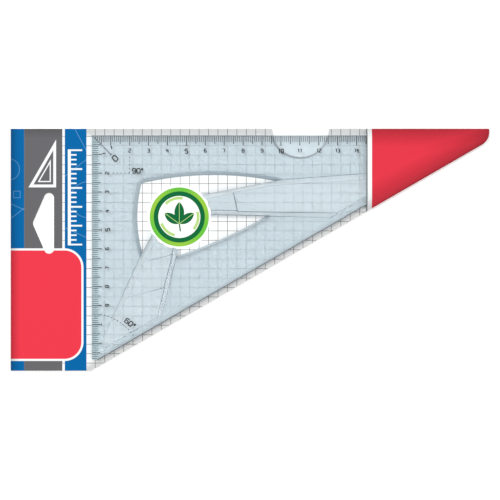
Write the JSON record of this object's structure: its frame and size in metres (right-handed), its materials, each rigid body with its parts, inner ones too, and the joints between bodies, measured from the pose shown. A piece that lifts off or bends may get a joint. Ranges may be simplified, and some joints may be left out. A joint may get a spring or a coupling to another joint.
{
  "type": "drafting triangle",
  "caption": "Clear 30-60-90 set square with a raised V grip and printed scales, tucked into the tail pocket of its folded hang card.",
  "frame": {"origin": "centre of the folded card's outline, on the plane that its back flaps lie on", "axes": "+X along the long scaled edge from the zero corner to the slim tip, +Y from the hypotenuse towards the long scaled edge, +Z out of the printed face"},
  "size_m": [0.2534, 0.128, 0.0047],
  "materials": {
    "card": "printed and lightly coated",
    "tail_card": "printed and lightly coated",
    "glue": "dull",
    "clear_plastic": "clear, polished, lightly scuffed",
    "scale_ink": "printed",
    "label": "satin"
  },
  "bodies": {
    "card_sleeve": {"backing_card": "card", "header_back_flap": "card", "header_glue": "glue", "tail_pocket": "tail_card", "tail_glue_flap": "tail_card", "tail_glue": "glue"},
    "set_square": {"set_square": "clear_plastic", "long_scale": "scale_ink", "short_scale": "scale_ink", "zero_pointer": "scale_ink", "right_angle_marks": "scale_ink", "angle_arc": "scale_ink", "sticker": "label"}
  },
  "joints": [
    {"name": "set_square_slide", "type": "slide", "parent": "card_sleeve", "child": "set_square", "axis": [-1, 0, 0], "range_m": [0, 0.25]}
  ]
}
